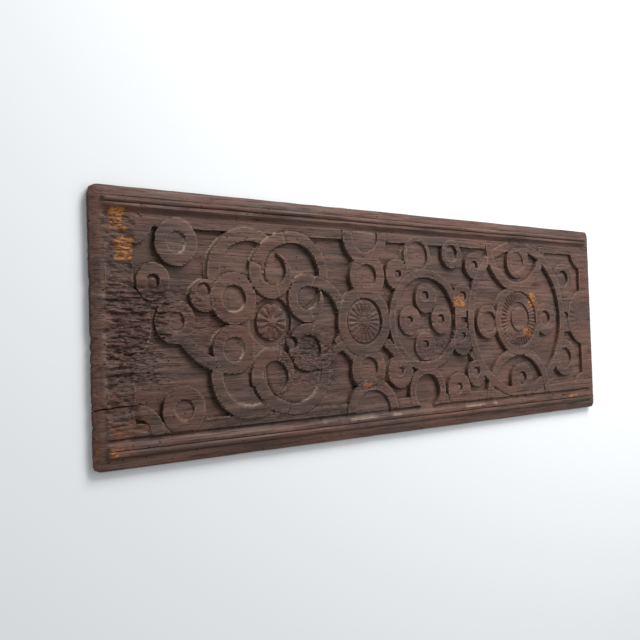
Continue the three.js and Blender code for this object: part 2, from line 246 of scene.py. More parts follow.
def sector(cx, cy, start, end, amount=1.0, nearest=0.0, farthest=1000.0):
    """Where round a centre the pale line lies: between two angles and two distances."""
    middle, half = (start + end) / 2, (end - start) / 2

    def share(x, y):
        angle = np.degrees(np.arctan2(cy - y, x - cx))
        off = np.abs((angle - middle + 180) % 360 - 180)
        distance = np.hypot(x - cx, y - cy)
        reach = (distance >= nearest) & (distance <= farthest)
        return amount * smooth_step(half - off, -4, 8) * reach
    return share


class Carving:
    """The carved field as layers laid one over another, each with an outline and a surface."""

    def __init__(self, sizes):
        self.ground = sizes["ground"]
        self.border = sizes["border"]
        self.top = sizes["strap"]
        self.arris = sizes["arris"]
        self.crease = sizes["crease"]
        self.wander = sizes["wander"]
        self.layers = []
        self.add_border()
        self.add_left()
        self.add_middle()
        self.add_circle()

    # Surfaces. Each gives a function of x, y and the distance inside the outline: the height.
    def flat(self, level):
        def height(x, y, inside):
            return level - self.arris * np.clip(1 - inside / 1.7, 0, 1) ** 2
        return height

    def dish(self, cx, cy, radius, deep, shallow, facing):
        """A hollow that is deepest at one side and rises to the other, cut from strap level."""
        fx, fy = math.cos(math.radians(facing)), -math.sin(math.radians(facing))

        def height(x, y, inside):
            side = ((x - cx) * fx + (y - cy) * fy) / radius
            return self.top - shallow - (deep - shallow) * smooth_step(side, -1.0, 0.9)
        return height

    def eye(self, cx, cy, radius, boss, level, depth, facing):
        """A round groove, deepest at one side, about a small domed boss."""
        fx, fy = math.cos(math.radians(facing)), -math.sin(math.radians(facing))

        def height(x, y, inside):
            distance = np.hypot(x - cx, y - cy)
            side = ((x - cx) * fx + (y - cy) * fy) / np.maximum(distance, 0.1)
            groove = smooth_step(distance, boss * 0.6, (boss + radius) / 2)
            return level - 0.4 - depth * groove * (0.25 + 0.75 * smooth_step(side, -0.9, 0.7))
        return height

    def flutes(self, cx, cy, radius, middle, count, depth, level, rim_fall=1.2):
        """Flutes that run out from a plain middle, with rounded ends at the rim."""
        def height(x, y, inside):
            distance = np.hypot(x - cx, y - cy)
            angle = np.arctan2(cy - y, x - cx)
            hollow = 0.5 + 0.5 * np.cos(angle * count + 0.25 * np.sin(angle * 3))
            run = smooth_step(distance, middle, middle + 3) * smooth_step(radius - distance, 0, 2.5)
            fall = rim_fall * (1 - smooth_step(radius - distance, 0, 4))
            return level - depth * hollow * run - fall
        return height

    def lay(self, shape, surface, over=False, sunk=False, dust=None):
        layer = {"shape": shape, "surface": surface, "over": over, "sunk": sunk, "dust": dust}
        self.layers.append(layer)

    def strap(self, shape, over=False, drop=0.0, dust=None):
        self.lay(shape, self.flat(self.top - drop), over, dust=dust)

    def field(self, cx, cy, radius, deep, shallow, facing, dust=None):
        self.lay(disc(cx, cy, radius), self.dish(cx, cy, radius, deep, shallow, facing), sunk=True, dust=dust)

    def sunk_eye(self, cx, cy, radius, deep=3.0, shallow=0.6, facing=62, dust=None):
        self.field(cx, cy, radius, deep, shallow, facing, dust)

    def small_eye(self, cx, cy, radius, boss, depth=3.4, drop=0.0):
        surface = self.eye(cx, cy, radius, boss, self.top - drop, depth, 62)
        self.lay(disc(cx, cy, radius), surface, sunk=True)

    def volute(self, upper):
        """The scroll with its two eyes and the arc that feeds it. The lower one is its mirror."""
        mirror_y = 148.5
        rows = (
            (260, 90, 46.8, 14.5, -6, 108, None, None, True, None),
            (260, 90, 46.8, 14.5, 106, 182, 57.5, 19, True, sector(260, 90, 112, 188, 1, 56)),
            (287, 148, 51.5, 15, -1, 96, None, None, False, None),
            (280, 118, 22.5, 15, 60, 290, None, None, True, sector(280, 118, 95, 150, 0.7, 28)),
            (280, 118, 22.5, 15, 286, 395, 22.5, 2, False, sector(280, 118, -75, 20, 0.9, 0, 22)),
            (228, 86, 25.5, 18, 160, 290, 25, 16, True, None),
            (228, 86, 25, 16, 286, 430, 23, 2, False, None),
        )
        lower_pale_line = (
            sector(260, 207, -80, 5, 0.9, 0, 44), None, None, None, None,
            sector(228, 211, 100, 165, 0.7, 30), None,
        )
        for row, below in zip(rows, lower_pale_line):
            cx, cy, radius, width, start, end, radius_2, width_2, over, dust = row
            if not upper:
                cy, start, end, dust = 2 * mirror_y - cy, -start, -end, below
            self.strap(turn(cx, cy, radius, width, start, end, radius_2, width_2), over, dust=dust)

    def add_border(self):
        corners = joined(outside(box(*GROUND_BOX)), disc(45, 36, 25), disc(870, 39, 25), disc(871, 264, 25))
        self.lay(corners, self.flat(self.border))
        self.lay(disc(491, 247, 25), self.flat(self.ground), sunk=True)
        self.lay(disc(22, 147, 45), self.flat(self.border), dust=sector(22, 147, -42, 2, 0.8))
        self.lay(box(812, 850, 114, 170), self.flat(self.top - 0.8))
        fan = self.flutes(876, 147, 45, 14, 26, 1.0, self.top, 0.6)
        self.lay(disc(876, 147, 45), fan, over=True)
        self.small_eye(825, 144, 7, 3.5, drop=0.8)

    def add_left(self):
        self.field(194, 90, 41, 5.2, 1.7, 80)
        self.field(194, 207, 40, 5.2, 1.8, 60)
        self.field(287, 148, 46, 5.5, 2.6, 50)
        self.field(260, 90, 42, 5.5, 1.8, 58)
        self.field(260, 207, 42, 4.4, 1.6, 100)
        self.lay(disc(226, 147, 30), self.flat(self.ground), sunk=True)
        self.strap(turn(194, 90, 46.5, 15, 48, 204, 49, 19), dust=sector(194, 90, 128, 190, 1, 50))
        inner_pale_line = sector(194, 207, -112, -62, 0.7, 0, 45)
        self.strap(turn(194, 207, 45.5, 15, 318, 158, 47, 17), dust=inner_pale_line)
        self.strap(disc(99, 57, 27))
        self.strap(disc(69, 101, 20.5), dust=sector(69, 101, 120, 195, 0.5))
        self.strap(turn(43, 268, 28, 16, 2, 92))
        self.strap(disc(104, 243, 27), over=True, dust=sector(104, 243, 100, 160, 0.4))
        self.strap(turn(171, 122, 77.5, 15, 214, 274))
        self.strap(disc(96, 145, 25), dust=sector(96, 145, 60, 130, 0.3))
        self.strap(disc(134, 116, 19), dust=sector(134, 116, 92, 178, 1))
        self.strap(disc(171, 178, 29), dust=sector(171, 178, 122, 172, 1))
        self.strap(disc(172, 119, 31), over=True)
        self.volute(upper=False)
        self.volute(upper=True)
        self.lay(disc(226, 147, 22), self.flutes(226, 147, 22, 4, 12, 2.2, self.top - 0.6, 1.8))
        self.sunk_eye(99, 57, 12, 2.0, 0.4, dust=sector(99, 57, -85, 25, 0.9))
        self.sunk_eye(96, 145, 10.5, 3.2, 0.5)
        self.sunk_eye(104, 243, 12, 2.2, 0.6, 80, dust=sector(104, 243, 190, 290, 0.4))
        self.sunk_eye(172, 119, 16, 3.4, 0.6, dust=sector(172, 119, -125, -15, 0.8))
        self.sunk_eye(171, 178, 14.5, 2.6, 0.8, dust=sector(171, 178, -60, 55, 1))
        self.small_eye(69, 101, 8, 4.5)
        self.small_eye(132, 110, 8.5, 5.5, 2.8)
        self.small_eye(255, 173, 8, 4)

    def add_middle(self):
        self.strap(bar(326, 168, 356, 196, 11), drop=0.6)
        self.strap(bar(320, 186, 352, 170, 11), over=True)
        self.strap(disc(380, 211, 30))
        self.strap(turn(387, 270, 38.5, 15, 0, 180), over=True)
        self.field(387, 270, 31, 3.0, 1.0, 55)
        self.strap(disc(375, 148, 46), over=True, dust=sector(375, 148, 122, 152, 0.7))
        self.strap(disc(382, 88, 31), over=True, dust=sector(382, 88, 140, 185, 0.4))
        self.strap(disc(379, 35, 39), over=True)
        self.field(379, 35, 22, 1.9, 1.2, 45)
        self.lay(disc(375, 148, 31), self.flat(self.top - 3.2), sunk=True)
        self.lay(disc(375, 148, 28), self.flutes(375, 148, 28, 3.5, 20, 1.6, self.top - 0.9, 1.0))
        self.sunk_eye(382, 88, 15.5, 3.4, 0.8)
        self.sunk_eye(380, 211, 15.5, 3.4, 0.6, 70)
        self.strap(disc(437, 85, 21.5))
        self.strap(bar(455, 70, 470, 84, 12))
        self.strap(disc(477, 58, 27), dust=sector(477, 58, 148, 205, 1))
        self.field(477, 58, 20, 2.6, 0.8, 10)
        self.strap(disc(439, 216, 24), dust=sector(439, 216, 140, 212, 0.6))
        self.strap(bar(414, 176, 456, 217, 13), over=True)
        self.strap(ring(491, 247, 36, 24))
        self.field(491, 147, 62, 5.5, 2.4, 48)
        self.strap(ring(491, 147, 71.5, 59.5))
        self.strap(disc(489, 184, 20.5))
        self.strap(disc(459, 148, 20.5))
        self.strap(disc(492, 117, 21.5), over=True)
        self.strap(disc(522, 147, 20.5), over=True)
        self.strap(disc(548, 52, 21))
        self.strap(bar(606, 68, 634, 56, 15))
        self.strap(disc(597, 68, 20))
        self.strap(box(552, 578, 100, 196))
        self.strap(box(579.5, 592.5, 104, 190))
        self.lay(box(564, 577, 144, 152), self.flat(self.ground + 1), sunk=True)
        self.lay(box(577, 582, 154, 174), self.flat(self.ground + 1), sunk=True)
        self.strap(disc(569, 116, 21))
        self.strap(disc(568, 179, 21))
        self.strap(bar(600, 213, 586, 196, 12))
        self.strap(disc(596, 227, 20))
        self.strap(disc(556, 248, 24), over=True)
        self.small_eye(438, 85, 6, 3)
        self.small_eye(438, 217, 6, 3, 2.2)
        self.small_eye(548, 51, 12, 5.5)
        self.small_eye(569, 114, 8, 4.5, 2.6)
        self.small_eye(567, 172, 6, 3, 2.0)
        self.small_eye(597, 68, 7.5, 4.5)
        self.small_eye(595, 225, 7.5, 4.5)
        self.small_eye(555, 247, 7.5, 4.5, 2.8)
        self.small_eye(490, 114, 7, 4)
        self.small_eye(458, 148, 6, 3.5)
        self.small_eye(521, 147, 7, 3.5)
        self.small_eye(489, 182, 6, 4)

    def add_circle(self):
        """The great circle, woven over and under its two lens arcs and the middle ring."""
        upper, lower = (697.5, 32, 65.5, 15), (697, 270, 72, 14)
        self.strap(disc(625, 151.5, 25))
        self.sunk_eye(627, 152, 16, 3.6, 0.8, 75)
        self.strap(turn(*lower, 45, 180))
        self.strap(disc(699.5, 148, 56), over=True, dust=sector(699.5, 148, 122, 160, 0.5))
        self.strap(turn(*upper, 225, 360), over=True)
        self.strap(disc(819, 85, 28))
        self.strap(disc(818, 212, 30))
        self.strap(ring(700, 147.5, 120.5, 107), over=True)
        self.strap(turn(*upper, 180, 250), over=True, dust=sector(697.5, 32, 180, 208, 0.6, 70))
        self.strap(turn(*lower, 0, 60), over=True)
        middle = (699.5, 148)
        self.lay(disc(*middle, 43.5), self.flutes(*middle, 43.5, 26, 40, 2.0, self.top - 0.7), sunk=True)
        self.lay(disc(*middle, 27), self.dish(*middle, 27, 3.4, 2.2, 60), sunk=True)
        self.strap(disc(701, 148, 18.5), drop=0.2)
        self.strap(disc(768, 148, 26), over=True)
        self.strap(disc(697.5, 60, 23.5))
        self.strap(box(706, 727, 36, 58))
        self.strap(disc(703, 243, 26.5))
        self.sunk_eye(699, 58, 15, 1.8, 0.5)
        self.sunk_eye(818, 213, 16.5, 3.8, 0.6)
        self.small_eye(767, 147, 12, 6.5)
        self.small_eye(703, 240, 10.5, 6)
        self.small_eye(819, 82, 13.5, 8)

    def strayed(self, x, y):
        """Where a carved line really runs: the hand never keeps it quite true."""
        along = lattice_noise(x, y, 17, 17, 21) + 0.5 * lattice_noise(x, y, 6, 6, 22)
        across = lattice_noise(x, y, 17, 17, 23) + 0.5 * lattice_noise(x, y, 6, 6, 24)
        return x + self.wander * along, y + self.wander * across

    def heights(self, x, y):
        """Height at each point, the layer on top of it, and how near it is to an arris (lightened as
        wear and painted highlight), to the foot of a wall (darkened as painted shade) and to the
        pale colour laid there."""
        x, y = self.strayed(x, y)
        z = self.ground + 0.35 * lattice_noise(x, y, 26, 7, 1)
        top = np.full(x.shape, -1)
        arris, foot, dust = np.zeros_like(x), np.zeros_like(x), np.zeros_like(x)
        for number, layer in enumerate(self.layers):
            inside = layer["shape"](x, y)
            here = inside > 0
            if layer["over"]:
                near = np.clip(1 + inside / 2.2, 0, 1) ** 2 * ~here
                z = np.where(z > self.ground + 2, z - self.crease * near, z)
            z = np.where(here, layer["surface"](x, y, inside), z)
            top = np.where(here, number, top)
            within = np.where(here, np.clip(1 - inside / EDGE_BAND, 0, 1), 0)
            without = np.where(here, 0, np.clip(1 + inside / EDGE_BAND, 0, 1))
            low, high = (within, without) if layer["sunk"] else (without, within)
            # foot: the band at the foot of each wall, where painted shade is laid in the dark colour.
            foot = np.maximum(np.where(here, 0, foot), low)
            # arris: the band along the top of each wall, lightened as wear and as a painted highlight.
            arris = np.maximum(np.where(here, 0, arris), high)
            dust = np.where(here, 0, dust)
            if layer["dust"]:
                dust = np.maximum(dust, np.minimum(low * 1.6, 1) * layer["dust"](x, y))
        return z, top, {"arris": arris, "foot": foot, "dust": dust}

    def snapped(self, x, y, top):
        """Moves the points beside an outline up to it, one row on each side, so that walls
        stand crisp and close to upright."""
        owner = np.full(top.shape, -1)
        for first, second in (
            ((slice(None, -1), slice(None)), (slice(1, None), slice(None))),
            ((slice(None), slice(None, -1)), (slice(None), slice(1, None))),
        ):
            crossing = top[first] != top[second]
            upper = np.where(crossing, np.maximum(top[first], top[second]), -1)
            owner[first] = np.maximum(owner[first], upper)
            owner[second] = np.maximum(owner[second], upper)
        x, y = x.copy(), y.copy()
        reach, small = ROW_STEP * 0.85, 0.05
        for number in np.unique(owner[owner >= 0]):
            mask = owner == number
            shape = self.layers[number]["shape"]
            px, py = self.strayed(x[mask], y[mask])
            inside = shape(px, py)
            slope_x = (shape(px + small, py) - shape(px - small, py)) / (2 * small)
            slope_y = (shape(px, py + small) - shape(px, py - small)) / (2 * small)
            steep = np.maximum(np.hypot(slope_x, slope_y), 0.5)
            wanted = np.where(inside > 0, WALL_RUN / 2, -WALL_RUN / 2) - inside
            move = np.clip(wanted, -reach, reach) / steep ** 2
            x[mask] += slope_x * move
            y[mask] += slope_y * move
        return x, y


def rail_section(width, bead_z):
    """Section of the moulding: distance from the edge, and height."""
    first, last = BEAD_SHARE
    middle, half = (first + last) / 2, (last - first) / 2
    bead = []
    for i in range(BEAD_POINTS + 1):
        angle = math.pi * (1 - i / BEAD_POINTS)
        z = bead_z - BEAD_RISE * (1 - math.sin(angle) ** 0.8)
        bead.append((middle + half * math.cos(angle), z))
    return [(share * width, z) for share, z in (*MARGIN_SECTION, *bead, *COVE_SECTION)]


def spaced(start, end, step, fine_bands):
    """Positions from start to end, closer together inside the fine bands."""
    positions = [start]
    while positions[-1] < end:
        here = positions[-1]
        fine = any(low <= here < high for low, high in fine_bands)
        positions.append(here + (FINE_STEP if fine else step))
    shares = (np.array(positions) - start) / (positions[-1] - start)
    return list(start + shares * (end - start))


def grid_lines(bead_z):
    """Where the columns and rows of the carved face stand."""
    ends = [0.0]
    for step in END_STEPS:
        ends.append(ends[-1] + step)
    inner = spaced(ends[-1], LENGTH - ends[-1], COLUMN_STEP, FINE_COLUMNS)
    columns = ends[:-1] + inner + [LENGTH - e for e in reversed(ends[:-1])]
    top = [u for u, _ in rail_section(RAIL_WIDTH["top"], bead_z)]
    bottom = [WIDTH - u for u, _ in reversed(rail_section(RAIL_WIDTH["bottom"], bead_z))]
    first, last = RAIL_WIDTH["top"] + 0.3, WIDTH - RAIL_WIDTH["bottom"] - 0.3
    field = spaced(first, last, ROW_STEP, FINE_ROWS)
    return np.array(columns), np.array(top + field + bottom)


def worn_share(x, y):
    """How far the left end is eaten down, from 0 to 1."""
    ragged = 10 * lattice_noise(x, y, 20, 6, 2) + 5 * lattice_noise(x, y, 9, 3, 3)
    strip = patch(x + ragged * 0.4, y, 15, 46, 30, 270, 5) * 0.6
    heart = patch(x + ragged, y, 12, 84, 110, 214, 10)
    spread = patch(x + ragged, y, 60, 124, 112, 200, 12) * 0.3
    return np.maximum(np.maximum(strip, heart), spread)


def spread_of(spots, x, y):
    """Soft boxes as (left, right, top, bottom, soft edge, amount), broken up by noise."""
    ragged_x = 3.5 * lattice_noise(x, y, 9, 4, 31)
    ragged_y = 2.0 * lattice_noise(x, y, 8, 5, 32)
    share = np.zeros_like(x)
    for left, right, top, bottom, soft, amount in spots:
        share = np.maximum(share, amount * patch(x + ragged_x, y + ragged_y, left, right, top, bottom, soft))
    return share


def bare_share(x, y):
    """Where the dark skin is lost and orange wood shows, from 0 to 1."""
    return spread_of((
        (20, 37, 22, 48, 4, 0.95), (26, 48, 53, 82, 4, 1.0), (16, 42, 250, 291, 7, 0.5),
        (14, 24, 277, 287, 3, 0.9), (34, 62, 246, 262, 4, 0.5), (0, 2.5, 30, 230, 2, 0.45),
        (0, 3, 262, 296, 2, 0.8), (548, 573, 113, 129, 4, 0.85), (728, 742, 105, 127, 4, 1.0),
        (711, 731, 160, 177, 4, 0.9), (757, 768, 128, 139, 4, 0.7), (213, 236, 100, 106, 4, 0.5),
        (250, 258, 112, 130, 4, 0.4), (95, 122, 250, 256, 3, 0.5), (826, 850, 273, 279, 2, 0.9),
        (414, 424, 214, 238, 4, 0.4), (368, 386, 228, 234, 2, 0.7), (658, 672, 184, 196, 3, 0.4),
    ), x, y)


def rough_share(x, y):
    """Where worm has opened the surface outside the worn end, from 0 to 1."""
    return spread_of((
        (235, 330, 160, 226, 12, 0.8), (470, 520, 182, 202, 8, 0.6), (500, 540, 170, 202, 8, 0.8),
        (478, 502, 136, 162, 5, 0.6), (355, 405, 226, 238, 4, 0.9), (110, 165, 126, 184, 12, 0.5),
        (545, 592, 158, 202, 8, 0.5), (130, 345, 256, 268, 5, 0.5), (680, 722, 24, 42, 6, 0.6),
        (555, 575, 36, 58, 5, 0.5), (655, 700, 170, 196, 6, 0.5), (70, 135, 110, 136, 8, 0.7),
    ), x, y)


def crack_line(x):
    along = np.clip(x / CRACK["end"], 0, 1)
    line = CRACK["y"] + (CRACK["end_y"] - CRACK["y"]) * along
    return line + 0.5 * lattice_noise(x, np.zeros_like(x), 9, 400, 16), along


def face_heights(carving, bead_z, x, y):
    """Height of the whole face with its wear, the layer on top, and what the finish needs."""
    z, top, facts = carving.heights(x, y)
    wander = 0.3 * lattice_noise(x, y, 90, 400, 4) + 0.15 * lattice_noise(x, y, 14, 400, 17)
    for side, distance in (("top", y), ("bottom", WIDTH - y)):
        width = RAIL_WIDTH[side]
        on_rail = distance < width
        rail = along_section(distance + wander, rail_section(width, bead_z))
        z = np.where(on_rail, rail, z)
        top = np.where(on_rail, -2, top)
        for name in facts:
            facts[name] = np.where(on_rail, 0, facts[name])
    start = smooth_step(np.minimum(x, LENGTH - x + 1.5), *RAIL_START)
    end = np.minimum(along_section(x, LEFT_END), along_section(LENGTH - x, RIGHT_END))
    margin = np.minimum(end, along_section(np.minimum(y, WIDTH - y), LONG_EDGE))
    z = np.where(start < 1, margin + (z - margin) * start, z)
    top = np.where(start < 1, -3, top)

    worn, rough, bare = worn_share(x, y), rough_share(x, y), bare_share(x, y)
    fibres = (
        lattice_noise(x, y, 21, 3.6, 5) + 0.8 * lattice_noise(x, y, 8, 2.4, 6)
        + 0.5 * lattice_noise(x, y, 4.5, 1.9, 18)
    )
    eaten = EATEN_Z + 1.7 * fibres
    z = z + (np.minimum(z + 0.4 * fibres, eaten) - z) * worn
    pits = np.clip(lattice_noise(x, y, 7, 2.6, 7) + 0.5 * lattice_noise(x, y, 3.5, 2, 19) - 0.25, 0, 1)
    open_wood = np.maximum(rough, np.maximum(0.7 * worn, 0.8 * bare * (x < 60)))
    z = z - 2.6 * open_wood * pits - 0.5 * rough
    z = z + 0.16 * lattice_noise(x, y, 30, 2.8, 8) + 0.12 * lattice_noise(x, y, 7, 4, 9)

    channel = box(WORM_CHANNEL["left"], WORM_CHANNEL["right"], -1, 1)
    off_line = y - WORM_CHANNEL["y"] + 1.2 * lattice_noise(x, y, 14, 400, 10)
    run = channel(x, off_line / WORM_CHANNEL["width"] * 2)
    gaps = smooth_step(lattice_noise(x, y, 11, 400, 20), -0.55, -0.1)
    z = z - WORM_CHANNEL["depth"] * smooth_step(run, -0.4, 0.7) * gaps
    line, along = crack_line(x)
    gape = np.clip(1 - np.abs(y - line) / (CRACK["width"] / 2), 0, 1) * (along < 1)
    z = z - CRACK["depth"] * np.clip(1.3 - along, 0, 1) * gape

    facts["bare"] = bare
    facts["worn"] = np.maximum(worn, rough)
    step_foot = patch(x, y, 12, 14, 18, 232, 1.2) * (0.55 + 0.45 * lattice_noise(x, y, 400, 9, 25))
    # A pale line along the bottom bead, broken up by noise.
    rail_pale_line = patch(x, y, 290, 640, 273.2, 275.6, 1) * smooth_step(lattice_noise(x, y, 16, 400, 26), 0, 0.5)
    facts["dust"] = np.maximum(facts["dust"], np.maximum(0.75 * step_foot, 0.8 * rail_pale_line))
    # The crack gets the same painted shade as the foot of the walls.
    facts["foot"] = np.maximum(facts["foot"], gape)
    return np.clip(z, DEEPEST_Z, THICKNESS), top, facts


def rounded_corner(x, y):
    """Pulls the points of a square corner in to the round one."""
    for name, radius in CORNER_RADIUS.items():
        right, bottom = "right" in name, "bottom" in name
        cx = LENGTH - radius if right else radius
        cy = WIDTH - radius if bottom else radius
        u = (x - cx) * (1 if right else -1) / radius
        v = (y - cy) * (1 if bottom else -1) / radius
        in_corner = (u > 0) & (v > 0)
        share = np.where(in_corner, np.maximum(u, v) / np.maximum(np.hypot(u, v), 1e-6), 1)
        x = np.where(in_corner, cx + (x - cx) * share, x)
        y = np.where(in_corner, cy + (y - cy) * share, y)
    return x, y


def ragged_outline(x, y):
    """Small losses along the edges, most of them at the left end."""
    bite = 3.0 * np.clip(lattice_noise(x, y, 400, 5, 12) - 0.35, 0, 1)
    bite = bite + 0.5 * np.abs(lattice_noise(x, y, 400, 3, 13))
    x = x + bite * smooth_step(3.0 - x, 0, 3)
    dent = 0.5 * np.abs(lattice_noise(x, y, 40, 400, 14))
    y = y + dent * smooth_step(3.0 - y, 0, 3) - dent * smooth_step(3.0 - (WIDTH - y), 0, 3)
    skew = 2.2 * (1 - y / WIDTH) + 0.4 * np.abs(lattice_noise(x, y, 400, 12, 15))
    x = x - skew * smooth_step(10.0 - (LENGTH - x), 0, 10)
    return x, y


def opened_at_crack(x, y, rows):
    """Draws three rows of points to the crack, and cuts its notch into the board's left end."""
    row = int(np.argmin(np.abs(rows - CRACK["y"])))
    for offset in (-1, 0, 1):
        line, along = crack_line(x[row + offset])
        target = line + offset * CRACK["width"] / 2
        y[row + offset] = np.where(along < 1, target, y[row + offset])
    short = np.clip(CRACK["notch"] - x[row], 0, None)
    x[row] = x[row] + short * 0.8
    return x, y


def in_frame(x, y, z):
    """A place in the part's frame, in metres."""
    return Vector((CAD_LOW.x + x * MM, CAD_HIGH.y - y * MM, CAD_LOW.z + z * MM))


def board_grid(carving, bead_z):
    """The carved face as a grid, still flat, in millimetres, its rows drawn to the outlines."""
    columns, rows = grid_lines(bead_z)
    x, y = np.meshgrid(columns, rows)
    _, top, _ = face_heights(carving, bead_z, x, y)
    x, y = carving.snapped(x, y, top)
    x, y = opened_at_crack(x, y, rows)
    row_count, column_count = x.shape
    bm = bmesh.new()
    bmesh.ops.create_grid(bm, x_segments=column_count - 1, y_segments=row_count - 1, size=1)
    for vert in bm.verts:
        i = round((vert.co.x + 1) / 2 * (column_count - 1))
        j = round((1 - vert.co.y) / 2 * (row_count - 1))
        vert.co = (x[j, i], y[j, i], 0)
    worn = box(*WORN_ZONE)
    split = {edge for face in bm.faces if worn(*face.calc_center_median()[:2]) > 0 for edge in face.edges}
    bmesh.ops.subdivide_edges(bm, edges=list(split), cuts=1, use_grid_fill=True)
    return bm


def build_board(sizes):
    """The board as one closed mesh: carved face, edges and flat back."""
    carving = Carving(sizes)
    bead_z = sizes["bead"]
    bm = board_grid(carving, bead_z)
    x = np.array([vert.co.x for vert in bm.verts])
    y = np.array([vert.co.y for vert in bm.verts])
    z, _, facts = face_heights(carving, bead_z, x, y)
    x, y = rounded_corner(*ragged_outline(x, y))
    layers = {name: bm.verts.layers.float.new(name) for name in sorted(facts)}
    for number, vert in enumerate(bm.verts):
        vert.co = in_frame(x[number], y[number], z[number])
        for name, layer in layers.items():
            vert[layer] = facts[name][number]
    rim = [edge for edge in bm.edges if edge.is_boundary]
    for level, inset in SIDE_LEVELS:
        made = bmesh.ops.extrude_edge_only(bm, edges=rim)["geom"]
        rim = [part for part in made if isinstance(part, bmesh.types.BMEdge) and part.is_boundary]
        for vert in (part for part in made if isinstance(part, bmesh.types.BMVert)):
            vert.co.z = CAD_LOW.z + level * MM
            vert.co.x = min(max(vert.co.x, CAD_LOW.x + inset * MM), CAD_HIGH.x - inset * MM)
            vert.co.y = min(max(vert.co.y, CAD_LOW.y + inset * MM), CAD_HIGH.y - inset * MM)
    bmesh.ops.contextual_create(bm, geom=rim)
    bmesh.ops.recalc_face_normals(bm, faces=bm.faces)
    mesh = bpy.data.meshes.new("board")
    bm.to_mesh(mesh)
    bm.free()
    mesh.shade_smooth()
    mesh.set_sharp_from_angle(angle=math.radians(38))
    board = bpy.data.objects.new("board", mesh)
    bpy.context.scene.collection.objects.link(board)
    return board


# Noise drawn out along the grain: size across and along the board in millimetres, detail, shift
PATTERNS = {
    "grain": (2.0, 45.0, 5.0, 0.0),
    "streak": (8.0, 150.0, 3.0, 3.1),
    "cloud": (60.0, 110.0, 2.0, 7.7),
    "fleck": (1.5, 6.0, 3.0, 1.3),
}

# Coats of colour over the brown skin, each over the last: where the mesh says that it lies, the
# pattern that breaks it up, that pattern's range, the share at each end of the range, its colour
COATS = (
    (None, "cloud", 0.35, 0.65, 0.0, 1.0, "red_skin"),
    (None, "streak", 0.42, 0.72, 0.0, 0.75, "streak"),
    (None, "grain", 0.50, 0.70, 0.0, 0.8, "pore"),
    (None, "fleck", 0.56, 0.72, 0.0, 0.6, "pore"),
    # Every arris lightened: rubbed wear with a painted highlight.
    ("arris", "fleck", 0.3, 0.6, 0.8, 0.15, "worn"),
    # Painted shade: the dark colour at the foot of every wall and in the crack.
    ("foot", "fleck", 0.0, 1.0, 0.6, 0.6, "dirt_and_painted_shade"),
    ("worn", "fleck", 0.44, 0.58, 0.0, 0.85, "dirt_and_painted_shade"),
    # Pale colour at the foot of some walls.
    ("dust", "fleck", 0.35, 0.6, 1.0, 0.5, "dust"),
)
HOLE_CELL = 15.0
SMOOTH = {"interpolation_type": "SMOOTHSTEP"}
COLOUR_MIX = {"data_type": "RGBA"}


def add_node(tree, kind, settings=None, inputs=None):
    """Adds a node with its settings, and feeds its inputs from sockets or plain values."""
    node = tree.nodes.new(kind)
    for key, value in (settings or {}).items():
        setattr(node, key, value)
    for key, value in (inputs or {}).items():
        if isinstance(value, bpy.types.NodeSocket):
            tree.links.new(value, node.inputs[key])
        else:
            node.inputs[key].default_value = value
    return node


def grain_patterns(tree, place):
    """The noises of the wood, by name."""
    patterns = {}
    for name, (across, along, detail, shift) in PATTERNS.items():
        drawn = add_node(tree, "ShaderNodeMapping", None, {
            "Vector": place,
            "Scale": (1 / (along * MM), 1 / (across * MM), 1 / (across * MM)),
            "Location": (shift, shift * 0.7, 0),
        })
        noise = add_node(tree, "ShaderNodeTexNoise", None, {
            "Vector": drawn.outputs[0], "Scale": 1.0, "Detail": detail, "Roughness": 0.6,
        })
        patterns[name] = noise.outputs["Fac"]
    return patterns


def worm_holes(tree, place):
    """Exit holes of furniture beetle, 1.6 mm across, one in some of the 15 mm cells."""
    spread = add_node(tree, "ShaderNodeMapping", None, {
        "Vector": place, "Scale": (1 / (HOLE_CELL * MM), 1 / (HOLE_CELL * MM), 0),
    })
    cells = add_node(tree, "ShaderNodeTexVoronoi", {"voronoi_dimensions": "2D"}, {
        "Vector": spread.outputs[0], "Scale": 1.0, "Randomness": 1.0,
    })
    spot = add_node(tree, "ShaderNodeMapRange", SMOOTH,
                    {0: cells.outputs["Distance"], 1: 0.045, 2: 0.075, 3: 1.0, 4: 0.0})
    random = add_node(tree, "ShaderNodeSeparateColor", None, {0: cells.outputs["Color"]})
    holed = add_node(tree, "ShaderNodeMath", {"operation": "GREATER_THAN"}, {0: random.outputs[0], 1: 0.72})
    return add_node(tree, "ShaderNodeMath", {"operation": "MULTIPLY"},
                    {0: spot.outputs[0], 1: holed.outputs[0]}).outputs[0]


def bare_wood(tree, skin, bare, fleck, colours):
    """Lays orange wood over the skin where worm broke it, with a ragged border."""
    fibres = add_node(tree, "ShaderNodeMapRange", SMOOTH, {0: fleck, 1: 0.38, 2: 0.60})
    raw = add_node(tree, "ShaderNodeMix", COLOUR_MIX,
                   {0: fibres.outputs[0], 6: colours["bare_light"], 7: colours["bare_dark"]})
    broken = add_node(tree, "ShaderNodeMath", {"operation": "MULTIPLY_ADD"}, {0: fleck, 1: 2.4, 2: bare})
    border = add_node(tree, "ShaderNodeMapRange", SMOOTH, {0: broken.outputs[0], 1: 1.60, 2: 1.86})
    inside = add_node(tree, "ShaderNodeMapRange", SMOOTH, {0: bare, 1: 0.05, 2: 0.3})
    shown = add_node(tree, "ShaderNodeMath", {"operation": "MULTIPLY"},
                     {0: border.outputs[0], 1: inside.outputs[0]})
    return add_node(tree, "ShaderNodeMix", COLOUR_MIX,
                    {0: shown.outputs[0], 6: skin, 7: raw.outputs[2]}).outputs[2]


